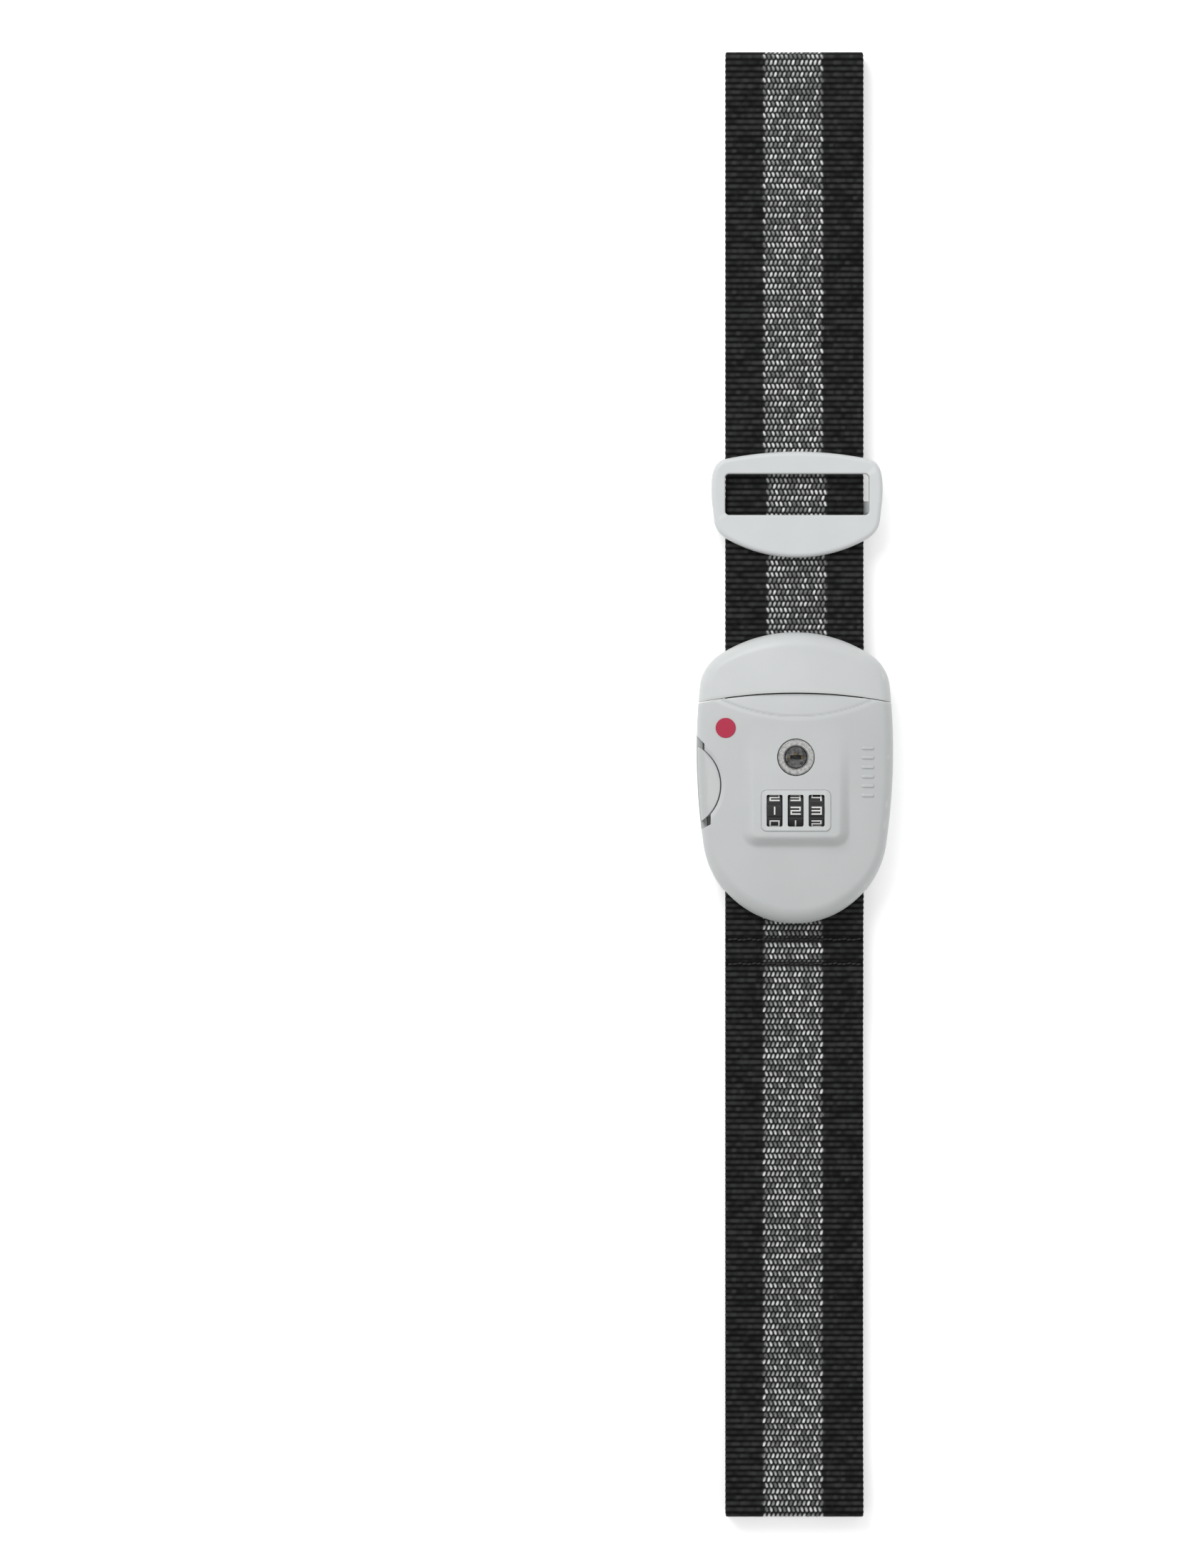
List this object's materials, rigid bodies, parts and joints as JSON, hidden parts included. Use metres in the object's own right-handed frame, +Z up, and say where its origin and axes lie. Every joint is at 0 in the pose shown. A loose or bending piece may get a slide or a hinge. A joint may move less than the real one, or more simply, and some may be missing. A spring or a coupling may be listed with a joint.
{
  "type": "luggage strap",
  "caption": "Folded woven luggage strap with a combination and key buckle lock, a draw-out tongue and a webbing slider.",
  "frame": {"origin": "on the floor below the middle of the folded strap's box", "axes": "+Y along the webbing from the lower fold towards the slider, +X across it to the right, +Z up out of the lock's face"},
  "size_m": [0.071, 0.5308, 0.0248],
  "materials": {
    "webbing": "woven, with a grey reflective centre band",
    "thread": "twisted",
    "housing_plastic": "fine satin moulding",
    "slider_plastic": "fine satin moulding",
    "dial_plastic": "satin",
    "numerals": "printed",
    "clutch_brass": "turned",
    "red_inlay": "gloss",
    "zinc": "die cast",
    "bright_metal": "plated",
    "steel": "plated"
  },
  "bodies": {
    "lock_body": {"front_shell": "housing_plastic", "back_cover": "housing_plastic", "cover_screws": "steel", "lower_strap_bar": "steel", "cylinder_housing": "zinc", "key_ring": "bright_metal", "dial_frame": "housing_plastic", "detent_spring": "steel", "status_inlay": "red_inlay", "button_spring": "steel", "reset_spring": "steel", "anchor_stitches": "thread", "webbing_anchor_loop": "webbing", "webbing_front_run": "webbing", "webbing_slack_folds": "webbing", "webbing_back_run": "webbing"},
    "tongue": {"tongue_cap": "housing_plastic", "tongue_back": "housing_plastic", "tongue_plate": "steel", "tongue_screws": "steel", "upper_strap_bar": "steel", "webbing_upper_loop": "webbing", "webbing_upper_run": "webbing", "webbing_top_fold": "webbing", "webbing_return_run": "webbing"},
    "slider": {"slider_frame": "slider_plastic", "webbing_slider_loop": "webbing", "slider_stitches": "thread"},
    "catch": {"catch_plate": "steel"},
    "release": {"release_button": "housing_plastic", "spindle": "steel"},
    "left_dial": {"dial_left": "dial_plastic", "clutch_left": "clutch_brass"},
    "middle_dial": {"dial_middle": "dial_plastic", "clutch_middle": "clutch_brass"},
    "right_dial": {"dial_right": "dial_plastic", "clutch_right": "clutch_brass"},
    "key_cylinder": {"key_plug": "zinc", "plug_wafers": "clutch_brass", "plug_cam": "zinc", "cam_clip": "steel"},
    "reset": {"reset_pin": "zinc"}
  },
  "joints": [
    {"name": "tongue_slide", "type": "slide", "parent": "lock_body", "child": "tongue", "axis": [0, 1, 0], "range_m": [0, 0.036]},
    {"name": "slider_slide", "type": "slide", "parent": "tongue", "child": "slider", "axis": [0, 1, 0], "range_m": [-0.018, 0.12], "deforming": ["webbing_return_run"]},
    {"name": "catch_slide", "type": "slide", "parent": "lock_body", "child": "catch", "axis": [1, 0, 0], "range_m": [-0.0025, 0]},
    {"name": "button_press", "type": "slide", "parent": "lock_body", "child": "release", "axis": [1, 0, 0], "range_m": [0, 0.003], "stiffness_N_per_m": 300, "springref_m": -0.002, "deforming": ["button_spring"]},
    {"name": "left_dial_turn", "type": "hinge", "parent": "lock_body", "child": "left_dial", "pos_m": [-0.0077, -0.0096, 0.0167], "axis": [1, 0, 0], "continuous": true},
    {"name": "middle_dial_turn", "type": "hinge", "parent": "lock_body", "child": "middle_dial", "pos_m": [-0.00015, -0.0096, 0.0167], "axis": [1, 0, 0], "continuous": true},
    {"name": "right_dial_turn", "type": "hinge", "parent": "lock_body", "child": "right_dial", "pos_m": [0.0074, -0.0096, 0.0167], "axis": [1, 0, 0], "continuous": true},
    {"name": "key_turn", "type": "hinge", "parent": "lock_body", "child": "key_cylinder", "pos_m": [0, 0.0096, 0.017], "axis": [0, 0, 1], "range_deg": [0, 90]},
    {"name": "reset_press", "type": "slide", "parent": "lock_body", "child": "reset", "axis": [0, 0, 1], "range_m": [0, 0.0015], "stiffness_N_per_m": 200, "springref_m": -0.001, "deforming": ["reset_spring"]}
  ]
}
